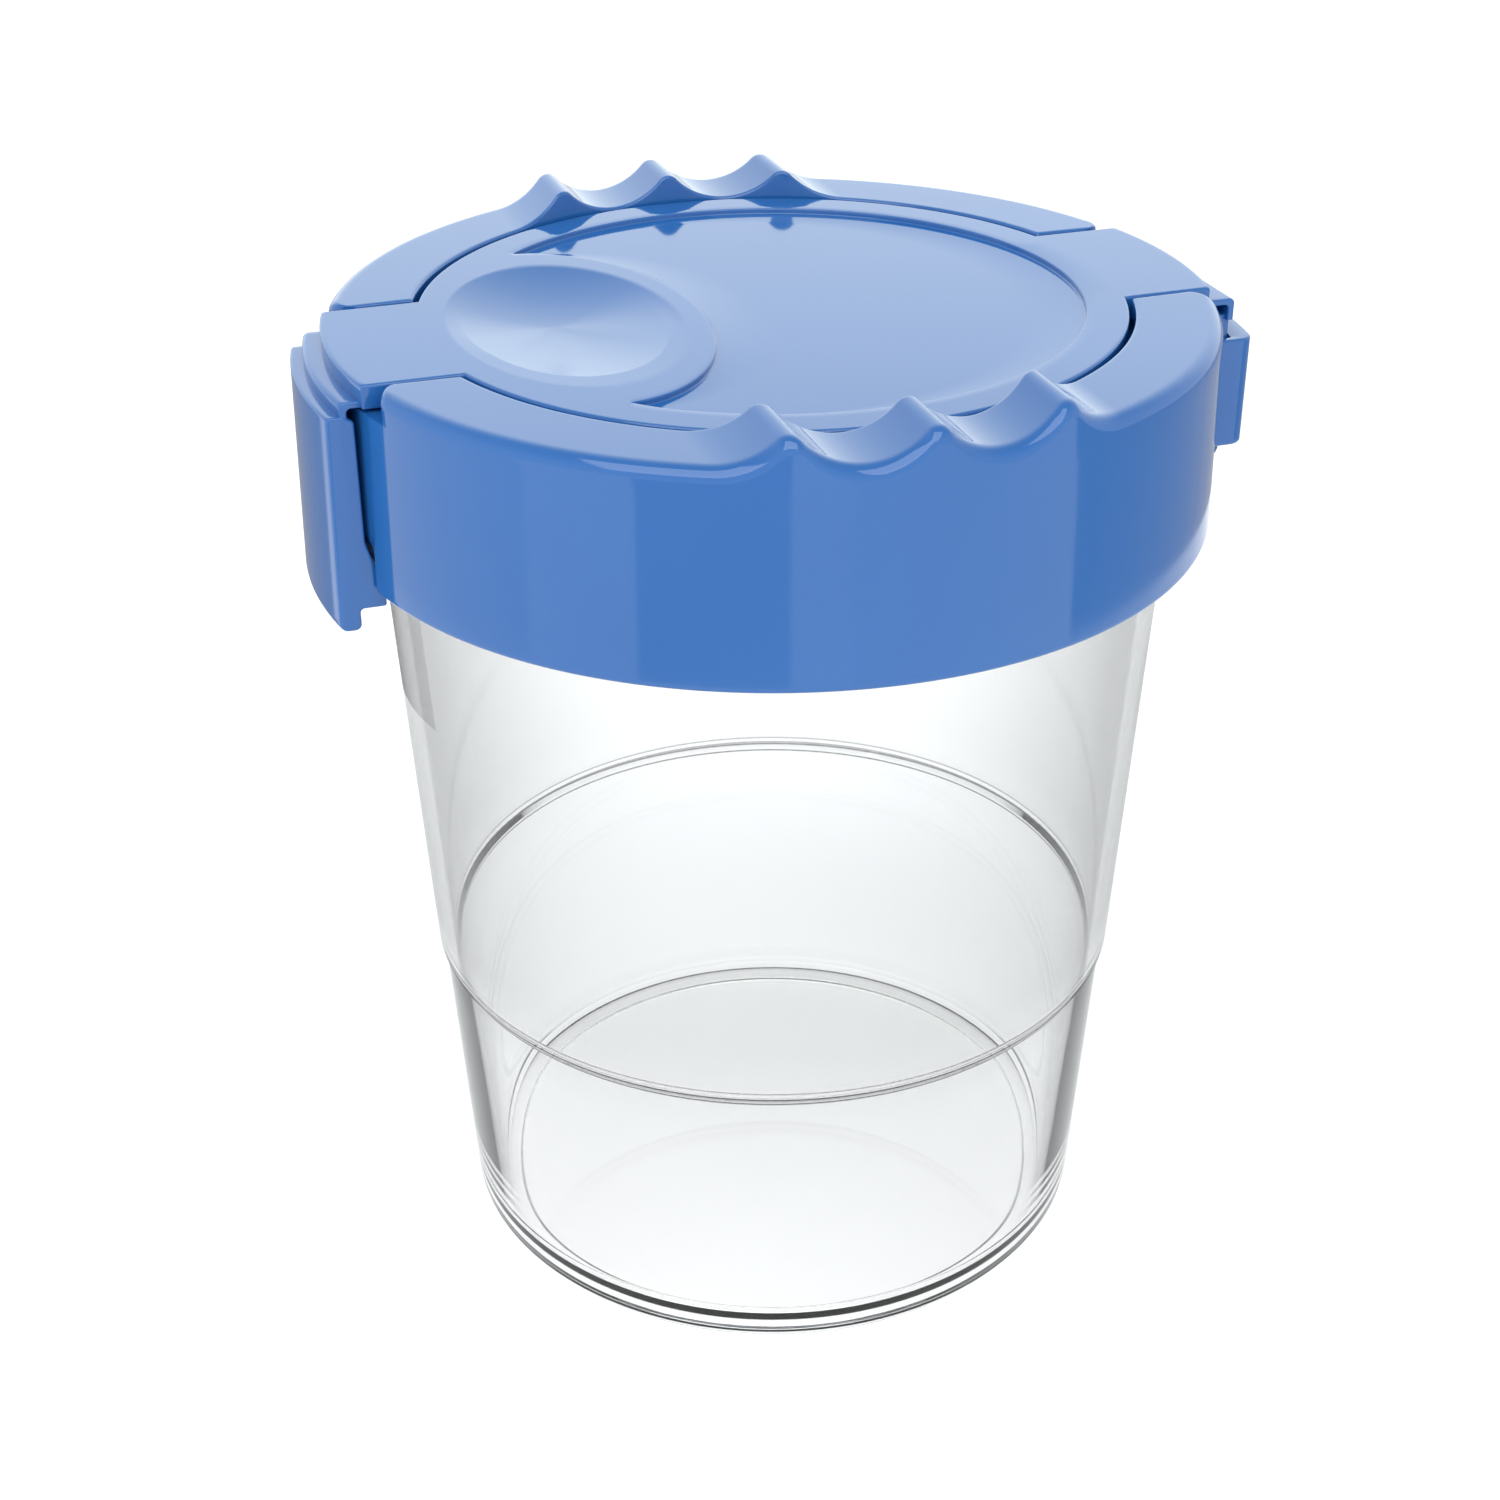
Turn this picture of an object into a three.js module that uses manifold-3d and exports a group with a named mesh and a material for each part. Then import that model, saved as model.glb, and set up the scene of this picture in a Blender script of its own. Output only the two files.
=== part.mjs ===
// A small no-spill paint cup: a clear tapered cup, a snap-on collar with brush rests,
// a funnel insert that keeps a tipped cup from pouring, and a flip lid with a front latch.
//
// Millimetres, +Z up. The origin is the centre of the base, on the surface that the cup
// stands on. The latch is towards -Y, the hinge towards +Y and the brush rests towards +-X.

import * as THREE from 'three';
import { mergeVertices } from 'three/addons/utils/BufferGeometryUtils.js';
import Module from 'manifold-3d';

const wasm = await Module();
wasm.setup();

// ---- driving dimensions ----

const SEGMENTS = 60;               // facets round the object
const INNER_SEGMENTS = 40;         // facets round the gasket, the seal and the funnel
const GAP = 0.3;                   // air between pieces that touch in the real object

const FOOT = { inner: 29.05, outer: 32.1, recess: 0.7, corner: 0.92 };
const CUP_LOWER = { bottom: 32.74, top: 34.56, z: 30.95, wall: 2.1 };
const CUP_UPPER = { bottom: 35.04, z: 31.65, wall: 1.45, taper: 0.0542 };
const CUP_FLOOR = 2.0;
const CUP_RIM = 91.0;
const CUP_BEAD = { radius: 38.7, low: 87.2, high: 88.2 };

const COLLAR = { bottom: 77.77, top: 97.05, lowRadius: 41.34, highRadius: 41.0, inside: 39.5 };
const COLLAR_EDGE = 1.3;           // rounding of the top outer edge
const RING_INNER = 33.1;           // the lid sits inside this radius
const RING_WALL = 1.8;
const DECK_UNDER = 93.2;           // underside of the deck, above the gasket
const LEDGE = { inner: 29.7, top: 93.9, under: 91.9 };
const SNAP_RIDGE = { radius: 39.1, low: 84.3, high: 85.1 };

const REST_PITCH = 11.7;           // from one brush-rest crest to the next
const REST_CREST = { z: 99.6, radius: 1.2 };
const REST_VALLEY_Z = 97.05;

const WINDOW = { half: 10.4, floor: 94.5, corner: 2.5 };
const TONGUE = { half: 10.0, under: 94.8, front: 41.15, rear: 40.95 };

const LID = { radius: 32.6, top: 97.0, under: 94.2, recessRadius: 28.7, recess: 96.0 };
const PAD = { y: -19.9, halfX: 21.0, halfY: 12.8 };
const DIMPLE = { y: -19.7, halfX: 16.7, halfY: 10.4, depth: 3.0, wall: 1.7 };
const PLUG = { inner: 25.4, outer: 26.9, low: 89.6, grooveLow: 90.4, grooveHigh: 92.2, groove: 26.2 };

const CONE = { mouth: 28.0, mouthTop: 93.7, mouthLow: 89.0, neck: 11.0, neckTop: 68.0, neckLow: 64.0 };
const CONE_WALL = 1.4;
const CONE_FLANGE = { radius: 34.5, low: 90.0, high: LEDGE.under - GAP };

const FILM_Z = 94.4;               // height of both film hinges
const FILM_BEAD = 0.95;            // radius of the rounded bead along a film hinge
const FRONT_FILM_RADIUS = 42.4;
const REAR_FILM_RADIUS = 42.45;
const FILM_HALF = 9.5;

const TAB = { half: 9.5, inner: 42.0, topRadius: 44.0, lowRadius: 44.5, top: 94.2, low: 74.2 };
const TAB_LIP = { inner: 43.7, shelf: 93.1 };
const HOOK = { reach: 40.3, under: 76.2, top: COLLAR.bottom - GAP, throat: 42.6 };
const RELIEF = { depth: 1.35, high: 85.0, half: 9.9 };

const STRAP = { half: 8.9, inner: 42.35, outer: 43.6, top: 93.1, low: 79.4, barb: 0.25 };
const SOCKET = { half: 10.0, inner: 39.65, outer: 46.0, low: 80.7, high: 91.5 };
const SLOT = { half: 9.2, inner: 42.05, outer: 43.9 };

// ---- geometry helpers ----

/** Merges shared corners and drops faces that have shrunk to a line. */
function closedSurface(geometry) {
  geometry.deleteAttribute('normal');
  geometry.deleteAttribute('uv');
  const merged = mergeVertices(geometry, 1e-4);
  const corners = merged.index.array;
  const kept = [];
  for (let i = 0; i < corners.length; i += 3) {
    const [a, b, c] = corners.slice(i, i + 3);
    if (a !== b && b !== c && c !== a) kept.push(a, b, c);
  }
  merged.setIndex(kept);
  return merged;
}

/** Six times the volume that the triangles enclose, negative if they face inwards. */
function signedVolume(vertices, triangles) {
  let sum = 0;
  const corner = (i) => new THREE.Vector3().fromArray(vertices, 3 * triangles[i]);
  for (let i = 0; i < triangles.length; i += 3) {
    sum += corner(i).dot(corner(i + 1).cross(corner(i + 2)));
  }
  return sum;
}

/** A closed three.js geometry as a solid that can be joined and cut. */
function solid(geometry) {
  const surface = closedSurface(geometry);
  const vertProperties = new Float32Array(surface.attributes.position.array);
  const triVerts = new Uint32Array(surface.index.array);
  if (signedVolume(vertProperties, triVerts) < 0) {
    for (let i = 0; i < triVerts.length; i += 3) {
      [triVerts[i], triVerts[i + 1]] = [triVerts[i + 1], triVerts[i]];
    }
  }
  return new wasm.Manifold(new wasm.Mesh({ numProp: 3, vertProperties, triVerts }));
}

/** A solid back as a three.js geometry. */
function geometryOf(body) {
  const mesh = body.getMesh();
  const geometry = new THREE.BufferGeometry();
  geometry.setAttribute('position', new THREE.BufferAttribute(mesh.vertProperties, 3));
  geometry.setIndex(new THREE.BufferAttribute(mesh.triVerts, 1));
  geometry.computeVertexNormals();
  return geometry;
}

/** Turns a closed outline of [radius, z] points round the Z axis. */
function revolve(outline, segments = SEGMENTS) {
  const points = outline.map(([radius, z]) => new THREE.Vector2(radius, z));
  if (outline[0][0] > 0) points.push(points[0].clone());
  return solid(new THREE.LatheGeometry(points, segments).rotateX(Math.PI / 2));
}

/** Raises a plan outline from z = low to z = high. */
function raise(shape, low, high, curveSegments = 12) {
  const depth = high - low;
  const raised = new THREE.ExtrudeGeometry(shape, { depth, bevelEnabled: false, curveSegments });
  return solid(raised.translate(0, 0, low));
}

/** A box between two corners. */
function block([x0, y0, z0], [x1, y1, z1]) {
  const box = new THREE.BoxGeometry(x1 - x0, y1 - y0, z1 - z0);
  return solid(box.translate((x0 + x1) / 2, (y0 + y1) / 2, (z0 + z1) / 2));
}

/** The slice |x| <= half of a turned outline, on the front (-1) or the rear (+1) side. */
function sector(outline, half, side) {
  const reach = 60;
  const y = side < 0 ? [-reach, 0] : [0, reach];
  return revolve(outline).intersect(block([-half, y[0], 0], [half, y[1], 120]));
}

/** Points of a quarter round of a turned outline's convex edge, from its side to its top. */
function roundedEdge(radius, z, size, steps = 3) {
  return Array.from({ length: steps + 1 }, (_, i) => {
    const angle = (i / steps) * (Math.PI / 2);
    return [radius - size * (1 - Math.cos(angle)), z - size * (1 - Math.sin(angle))];
  });
}

const cupRadius = (z) => CUP_UPPER.bottom + CUP_UPPER.taper * (z - CUP_UPPER.z);

// ---- the pieces ----

/** Clear tapered cup with a foot ring, a step a third of the way up and a snap bead. */
function cupBody() {
  const { wall } = CUP_UPPER;
  const lower = CUP_LOWER.bottom - CUP_LOWER.wall;
  return revolve([
    [0, FOOT.recess],
    [FOOT.inner - 0.15, FOOT.recess],
    [FOOT.inner, 0],
    [FOOT.outer, 0],
    [CUP_LOWER.bottom, FOOT.corner],
    [CUP_LOWER.top, CUP_LOWER.z],
    [CUP_UPPER.bottom, CUP_UPPER.z],
    [cupRadius(86.2), 86.2],
    [CUP_BEAD.radius, CUP_BEAD.low],
    [CUP_BEAD.radius, CUP_BEAD.high],
    [cupRadius(89.2), 89.2],
    [cupRadius(CUP_RIM), CUP_RIM - 0.4],
    [cupRadius(CUP_RIM) - 0.4, CUP_RIM],
    [cupRadius(CUP_RIM) - wall, CUP_RIM],
    [cupRadius(32.2) - wall, 32.2],
    [CUP_LOWER.top - CUP_LOWER.wall, 30.8],
    [lower + 0.15, 3.6],
    [lower - 0.35, 2.5],
    [lower - 1.4, CUP_FLOOR],
    [0, CUP_FLOOR],
  ]);
}

/** Plan outline that opens a window for a tongue, with rounded outer corners. */
function windowCutter() {
  const { half, corner } = WINDOW;
  const cx = half + corner;
  const core = COLLAR.highRadius - corner;
  const cy = Math.sqrt(core * core - cx * cx);
  const sweep = Math.atan2(cy, cx);
  const reach = 47;
  const shape = new THREE.Shape();
  shape.moveTo(-half, 31);
  shape.lineTo(half, 31);
  shape.lineTo(half, cy);
  shape.absarc(cx, cy, corner, Math.PI, sweep, true);
  shape.lineTo(reach * Math.cos(sweep), reach * Math.sin(sweep));
  shape.lineTo(-reach * Math.cos(sweep), reach * Math.sin(sweep));
  shape.absarc(-cx, cy, corner, Math.PI - sweep, 0, true);
  return raise(shape, WINDOW.floor, 101, 5);
}

/** Wave of crests and round valleys along Y, carried across X: the brush rests. */
function brushRests() {
  const half = REST_PITCH / 2;
  const crestY = REST_CREST.z - REST_CREST.radius;
  // the valley radius that makes its arc tangent to the crests' arcs
  const drop = crestY - REST_VALLEY_Z;
  const small = REST_CREST.radius;
  const valley = (half * half + drop * drop - small * small) / (2 * (small + drop));
  const lean = Math.atan2(REST_VALLEY_Z + valley - crestY, half);
  const shape = new THREE.Shape();
  shape.moveTo(-2 * REST_PITCH, 95.2);
  shape.lineTo(2 * REST_PITCH, 95.2);
  shape.lineTo(2 * REST_PITCH, REST_VALLEY_Z - 0.02);
  shape.lineTo(1.5 * REST_PITCH, REST_VALLEY_Z - 0.02);
  for (const crest of [REST_PITCH, 0, -REST_PITCH]) {
    const centre = REST_VALLEY_Z + valley;
    shape.absarc(crest + half, centre, valley, -Math.PI / 2, Math.PI + lean, true);
    shape.absarc(crest, crestY, small, lean, Math.PI - lean, false);
    shape.absarc(crest - half, centre, valley, -lean, -Math.PI / 2, true);
  }
  shape.lineTo(-2 * REST_PITCH, REST_VALLEY_Z - 0.02);
  const carried = new THREE.ExtrudeGeometry(shape, { depth: 90, bevelEnabled: false, curveSegments: 5 });
  carried.translate(0, 0, -45);
  const alongX = new THREE.Matrix4().makeBasis(
    new THREE.Vector3(0, 1, 0),
    new THREE.Vector3(0, 0, 1),
    new THREE.Vector3(1, 0, 0),
  );
  const wave = solid(carried.applyMatrix4(alongX));
  const ring = revolve([
    [RING_INNER, 95.4],
    [COLLAR.highRadius - 0.4, 95.4],
    [COLLAR.highRadius - 0.4, 100.4],
    [RING_INNER, 100.4],
  ]);
  return wave.intersect(ring).subtract(block([-20, -50, 90], [20, 50, 105]));
}

/** Socket behind the collar that the hinge strap is pushed down through. */
function strapSocket() {
  const { half, inner, outer } = SOCKET;
  const corner = 1.5;
  const core = outer - corner;
  const cx = half - corner;
  const cy = Math.sqrt(core * core - cx * cx);
  const lean = Math.atan2(cy, cx);
  const plan = new THREE.Shape();
  plan.moveTo(-half, inner);
  plan.lineTo(half, inner);
  plan.lineTo(half, cy);
  plan.absarc(cx, cy, corner, 0, lean, false);
  plan.absarc(0, 0, outer, lean, Math.PI - lean, false);
  plan.absarc(-cx, cy, corner, Math.PI - lean, Math.PI, false);
  const body = raise(plan, SOCKET.low, SOCKET.high, 8);
  const slot = sector(
    [[SLOT.inner, 70], [SLOT.outer, 70], [SLOT.outer, 95], [SLOT.inner, 95]],
    SLOT.half,
    1,
  );
  return body.subtract(slot);
}

/** Collar: outer skirt, deck, lid ledge, brush rests, two tongue windows and the strap socket. */
function collar() {
  const bowl = RING_INNER + RING_WALL;
  const skirt = revolve([
    [COLLAR.inside, COLLAR.bottom],
    [COLLAR.lowRadius - 0.3, COLLAR.bottom],
    [COLLAR.lowRadius, COLLAR.bottom + 0.3],
    ...roundedEdge(COLLAR.highRadius, COLLAR.top, COLLAR_EDGE),
    [RING_INNER + 0.3, COLLAR.top],
    [RING_INNER, COLLAR.top - 0.3],
    [RING_INNER, LEDGE.top],
    [LEDGE.inner, LEDGE.top],
    [LEDGE.inner, LEDGE.under],
    [bowl, LEDGE.under],
    [bowl, DECK_UNDER],
    [COLLAR.inside, DECK_UNDER],
    [COLLAR.inside, SNAP_RIDGE.high + 0.5],
    [SNAP_RIDGE.radius, SNAP_RIDGE.high],
    [SNAP_RIDGE.radius, SNAP_RIDGE.low],
    [COLLAR.inside, SNAP_RIDGE.low - 0.7],
  ]);
  const opening = windowCutter();
  const relief = sector(
    [
      [COLLAR.lowRadius - RELIEF.depth, COLLAR.bottom - 1],
      [COLLAR.lowRadius + 1, COLLAR.bottom - 1],
      [COLLAR.lowRadius + 1, RELIEF.high + 1.5],
      [COLLAR.lowRadius - RELIEF.depth, COLLAR.bottom + 0.6],
    ],
    RELIEF.half,
    -1,
  );
  return skirt
    .add(brushRests())
    .add(strapSocket())
    .subtract(opening)
    .subtract(opening.rotate([0, 0, 180]))
    .subtract(relief);
}

/** Ring of soft rubber between the cup's rim and the collar's deck. */
function rimGasket() {
  const low = CUP_RIM + GAP;
  const high = DECK_UNDER - GAP;
  return revolve([
    [36.9, low],
    [38.7, low],
    [39.0, low + 0.3],
    [39.0, high - 0.3],
    [38.7, high],
    [36.9, high],
    [36.6, high - 0.3],
    [36.6, low + 0.3],
  ], INNER_SEGMENTS);
}

/** Funnel that hangs in the cup's mouth. Its narrow neck keeps a tipped cup from pouring. */
function spillCone() {
  const outerMouth = LEDGE.inner - GAP;
  return revolve([
    [CONE.mouth, CONE.mouthTop],
    [CONE.mouth, CONE.mouthLow],
    [CONE.neck, CONE.neckTop],
    [CONE.neck, CONE.neckLow],
    [CONE.neck + CONE_WALL, CONE.neckLow],
    [CONE.neck + CONE_WALL, CONE.neckTop - 0.6],
    [CONE.mouth + CONE_WALL - 0.3, CONE.mouthLow - 1],
    [outerMouth, CONE_FLANGE.low],
    [CONE_FLANGE.radius, CONE_FLANGE.low],
    [CONE_FLANGE.radius, CONE_FLANGE.high],
    [outerMouth, CONE_FLANGE.high],
    [outerMouth, CONE.mouthTop],
  ], INNER_SEGMENTS);
}

/** Plan outline of a tongue that reaches to the given radius, towards +Y. */
function tongue(reach) {
  const { half, under } = TONGUE;
  const edge = Math.asin(half / reach);
  const shape = new THREE.Shape();
  shape.moveTo(-half, 29.6);
  shape.lineTo(half, 29.6);
  shape.absarc(0, 0, reach, Math.PI / 2 - edge, Math.PI / 2 + edge, false);
  return raise(shape, under, LID.top, 8);
}

/** An upright elliptic post. */
function ellipticPost(x, y, low, high) {
  const shape = new THREE.Shape();
  shape.absellipse(0, 0, x, y, 0, 2 * Math.PI, false, 0);
  return raise(shape, low, high, 24);
}

/** A flattened ball whose middle is at the lid's top face. */
function bowl(x, y, depth) {
  return solid(new THREE.SphereGeometry(1, 28, 14).rotateX(Math.PI / 2).scale(x, y, depth))
    .translate([0, DIMPLE.y, LID.top]);
}

/** Lid: recessed disc, thumb pad with its dimple, front and rear tongues and the plug skirt. */
function lid() {
  const disc = revolve([
    [0, LID.under],
    [PLUG.inner, LID.under],
    [PLUG.inner, PLUG.low],
    [PLUG.outer, PLUG.low],
    [PLUG.outer, PLUG.grooveLow],
    [PLUG.groove, PLUG.grooveLow],
    [PLUG.groove, PLUG.grooveHigh],
    [PLUG.outer, PLUG.grooveHigh],
    [PLUG.outer, LID.under],
    [LID.radius - 0.3, LID.under],
    [LID.radius, LID.under + 0.3],
    [LID.radius, LID.top - 0.3],
    [LID.radius - 0.3, LID.top],
    [LID.recessRadius, LID.top],
    [LID.recessRadius - 0.1, LID.recess],
    [0, LID.recess],
  ]);
  const pad = ellipticPost(PAD.halfX, PAD.halfY, LID.under + 0.2, LID.top)
    .translate([0, PAD.y, 0])
    .intersect(revolve([[0, 90], [LID.radius - 1, 90], [LID.radius - 1, 100], [0, 100]]));
  const { halfX, halfY, depth, wall } = DIMPLE;
  const skin = bowl(halfX + wall, halfY + wall, depth + wall)
    .intersect(revolve([[0, 90], [PLUG.inner + 0.5, 90], [PLUG.inner + 0.5, 95], [0, 95]]));
  return disc
    .add(pad)
    .add(skin)
    .add(tongue(TONGUE.rear))
    .add(tongue(TONGUE.front).rotate([0, 0, 180]))
    .subtract(bowl(halfX, halfY, depth));
}

/** Rubber ring in the plug's groove that closes on the funnel's mouth. */
function lidSeal() {
  const low = PLUG.grooveLow + GAP;
  const high = PLUG.grooveHigh - GAP;
  const inner = PLUG.groove + GAP;
  const outer = CONE.mouth - 0.4;
  return revolve([
    [inner, low],
    [outer - 0.3, low],
    [outer, low + 0.3],
    [outer, high - 0.3],
    [outer - 0.3, high],
    [inner, high],
  ], INNER_SEGMENTS);
}

/** Rounded bead along a film hinge, of the given radius about the cup's axis. */
function filmBead(radius, side) {
  const corners = 10;
  const outline = Array.from({ length: corners }, (_, i) => {
    const angle = (i / corners) * 2 * Math.PI;
    return [radius + FILM_BEAD * Math.cos(angle), FILM_Z + FILM_BEAD * Math.sin(angle)];
  });
  return sector(outline, FILM_HALF, side);
}

/** Latch tab: a curved plate that hangs in front of the collar and hooks in under it. */
function latchTab() {
  return sector([
    [TAB.inner, TAB_LIP.shelf],
    [TAB.inner, HOOK.top],
    [HOOK.reach, HOOK.top],
    [HOOK.reach, HOOK.under],
    [HOOK.throat, HOOK.under],
    [HOOK.throat, TAB.low + 0.6],
    [HOOK.throat + 0.5, TAB.low],
    [TAB.lowRadius - 0.6, TAB.low],
    [TAB.lowRadius, TAB.low + 0.6],
    [TAB.topRadius, TAB.top - 0.3],
    [TAB.topRadius - 0.1, TAB.top],
    [TAB_LIP.inner, TAB.top],
    [TAB_LIP.inner, TAB_LIP.shelf],
  ], TAB.half, -1);
}

/** Hinge strap: a plate down through the collar's socket, with a barbed lower end. */
function hingeStrap() {
  const { inner, outer, top, low, barb } = STRAP;
  const barbTop = SOCKET.low - GAP;
  return sector([
    [inner, top],
    [inner, barbTop],
    [inner - barb, barbTop - 0.2],
    [inner - barb, low + 0.4],
    [inner, low],
    [outer - 0.2, low],
    [outer + barb, low + 0.5],
    [outer + barb, barbTop - 0.2],
    [outer, barbTop],
    [outer, top - 0.2],
    [outer - 0.2, top],
  ], STRAP.half, 1);
}

// ---- finishes ----

const clear = { color: 0xf4f7f9, roughness: 0.05, metalness: 0, transparent: true, opacity: 0.3 };
const blue = { color: 0x4677bb, roughness: 0.25, metalness: 0 };
const frosted = { color: 0xe6ebf0, roughness: 0.4, metalness: 0 };
const rubber = { color: 0x9aa3ab, roughness: 0.8, metalness: 0 };

/** A named mesh of one piece. */
function piece(name, body, finish) {
  const mesh = new THREE.Mesh(geometryOf(body), new THREE.MeshStandardMaterial(finish));
  mesh.name = name;
  return mesh;
}

// ---- the assembly ----

const latch = new THREE.Group();
latch.add(piece('latch_tab', latchTab(), blue));

const flipLid = new THREE.Group();
flipLid.add(
  piece('lid', lid(), blue),
  piece('lid_seal', lidSeal(), rubber),
  piece('latch_film_hinge', filmBead(FRONT_FILM_RADIUS, -1), blue),
  latch,
);

const cover = new THREE.Group();
cover.add(
  piece('collar', collar(), blue),
  piece('rim_gasket', rimGasket(), rubber),
  piece('spill_cone', spillCone(), frosted),
  piece('hinge_strap', hingeStrap(), blue),
  piece('lid_film_hinge', filmBead(REAR_FILM_RADIUS, 1), blue),
  flipLid,
);

const group = new THREE.Group();
group.add(piece('cup_body', cupBody(), clear), cover);

export default group;
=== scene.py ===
"""Looks of a small no-spill paint cup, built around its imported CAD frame.

Every shape is worked out in millimetres with numpy and put into its mesh in metres. +Z is up, the
latch is towards -Y, the hinge towards +Y and the brush rests towards +-X.
"""

import bmesh
import bpy
import numpy as np
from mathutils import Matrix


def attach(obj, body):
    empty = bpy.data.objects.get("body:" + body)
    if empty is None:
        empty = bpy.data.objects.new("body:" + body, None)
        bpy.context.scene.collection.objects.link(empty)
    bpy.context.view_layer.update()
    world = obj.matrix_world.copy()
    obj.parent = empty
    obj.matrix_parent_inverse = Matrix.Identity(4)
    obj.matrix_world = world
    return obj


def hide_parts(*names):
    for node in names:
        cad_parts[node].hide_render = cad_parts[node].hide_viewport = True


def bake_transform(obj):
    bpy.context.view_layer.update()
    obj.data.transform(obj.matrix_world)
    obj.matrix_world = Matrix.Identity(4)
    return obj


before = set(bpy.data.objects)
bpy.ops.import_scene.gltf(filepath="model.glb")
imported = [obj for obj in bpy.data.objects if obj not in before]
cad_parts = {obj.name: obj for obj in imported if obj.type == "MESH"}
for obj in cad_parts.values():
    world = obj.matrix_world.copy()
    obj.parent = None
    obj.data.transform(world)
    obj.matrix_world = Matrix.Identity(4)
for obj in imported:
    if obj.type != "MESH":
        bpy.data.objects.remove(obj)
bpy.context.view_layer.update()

MM = 0.001
FULL_TURN = 2 * np.pi

# ---- driving sizes, in millimetres ----

COLLAR_LOW, COLLAR_TOP = 77.77, 97.05
COLLAR_LOW_RADIUS, COLLAR_RADIUS = 41.34, 41.0
COLLAR_INSIDE, COLLAR_EDGE = 39.5, 1.3
RING_INNER, RING_EDGE = 33.1, 0.3
WINDOW_HALF, WINDOW_FLOOR, WINDOW_CORNER = 10.4, 94.5, 2.5
REST_PITCH, REST_CREST, REST_CREST_RADIUS = 11.7, 99.6, 1.2
SIDE_EDGE = 0.25

LID_TOP, LID_UNDER, LID_RADIUS = 97.0, 94.2, 32.6
LID_RECESS, RECESS_RADIUS, RECESS_EDGE = 96.45, 28.7, 0.15
TONGUE_HALF, TONGUE_UNDER, TONGUE_FRONT, TONGUE_REAR = 10.0, 94.8, 41.15, 40.95
PAD_Y, PAD_X_HALF, PAD_Y_HALF = -19.9, 21.0, 12.8
DIMPLE_Y, DIMPLE_X_HALF, DIMPLE_Y_HALF, DIMPLE_DEPTH = -19.7, 16.7, 10.4, 1.8
DIMPLE_LOW_X, SHOULDER_START, SHOULDER_DEPTH = -4.0, 0.86, 0.08
PLUG_INNER, PLUG_OUTER, PLUG_GROOVE = 25.4, 26.9, 26.2

# painted shade: darker lines drawn at the cup's real step, in place of its dark refraction lines, as
# (height in metres, weight)
PAINTED_STEP_LINES = ((0.03098, 0.75), (0.03185, 0.5))


# ---- meshes ----

def grid_faces(rows, columns, closed_rows=False, closed_columns=False):
    """Corner numbers of the squares of a grid of points, closed on itself where asked."""
    i = np.arange(rows if closed_rows else rows - 1)
    j = np.arange(columns if closed_columns else columns - 1)
    i, j = np.meshgrid(i, j, indexing="ij")
    i_next, j_next = (i + 1) % rows, (j + 1) % columns
    corners = [i * columns + j, i * columns + j_next, i_next * columns + j_next, i_next * columns + j]
    return np.stack(corners, -1).reshape(-1, 4)


def make_piece(name, patches, sharp=32, capped=False):
    """One mesh from grids of points, each (points, closed rows, closed columns).

    Shared edges are merged, squares that have shrunk to nothing are dropped, open ends are closed
    with a flat face if capped, and faces are turned outwards. Edges that bend by more than the
    sharp angle, in degrees, stay crisp.
    """
    points, faces, start = [], [], 0
    for grid, closed_rows, closed_columns in patches:
        rows, columns = grid.shape[:2]
        points.append(grid.reshape(-1, 3))
        faces += (grid_faces(rows, columns, closed_rows, closed_columns) + start).tolist()
        start += rows * columns
    mesh = bpy.data.meshes.new(name)
    mesh.from_pydata((np.concatenate(points) * MM).tolist(), [], faces)
    work = bmesh.new()
    work.from_mesh(mesh)
    bmesh.ops.remove_doubles(work, verts=work.verts, dist=2e-6)
    bmesh.ops.dissolve_degenerate(work, edges=work.edges, dist=1e-7)
    if capped:
        bmesh.ops.holes_fill(work, edges=[edge for edge in work.edges if edge.is_boundary], sides=0)
    bmesh.ops.recalc_face_normals(work, faces=work.faces)
    work.to_mesh(mesh)
    work.free()
    mesh.shade_smooth()
    mesh.set_sharp_from_angle(angle=np.radians(sharp))
    piece = bpy.data.objects.new(name, mesh)
    bpy.context.scene.collection.objects.link(piece)
    return piece


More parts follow.
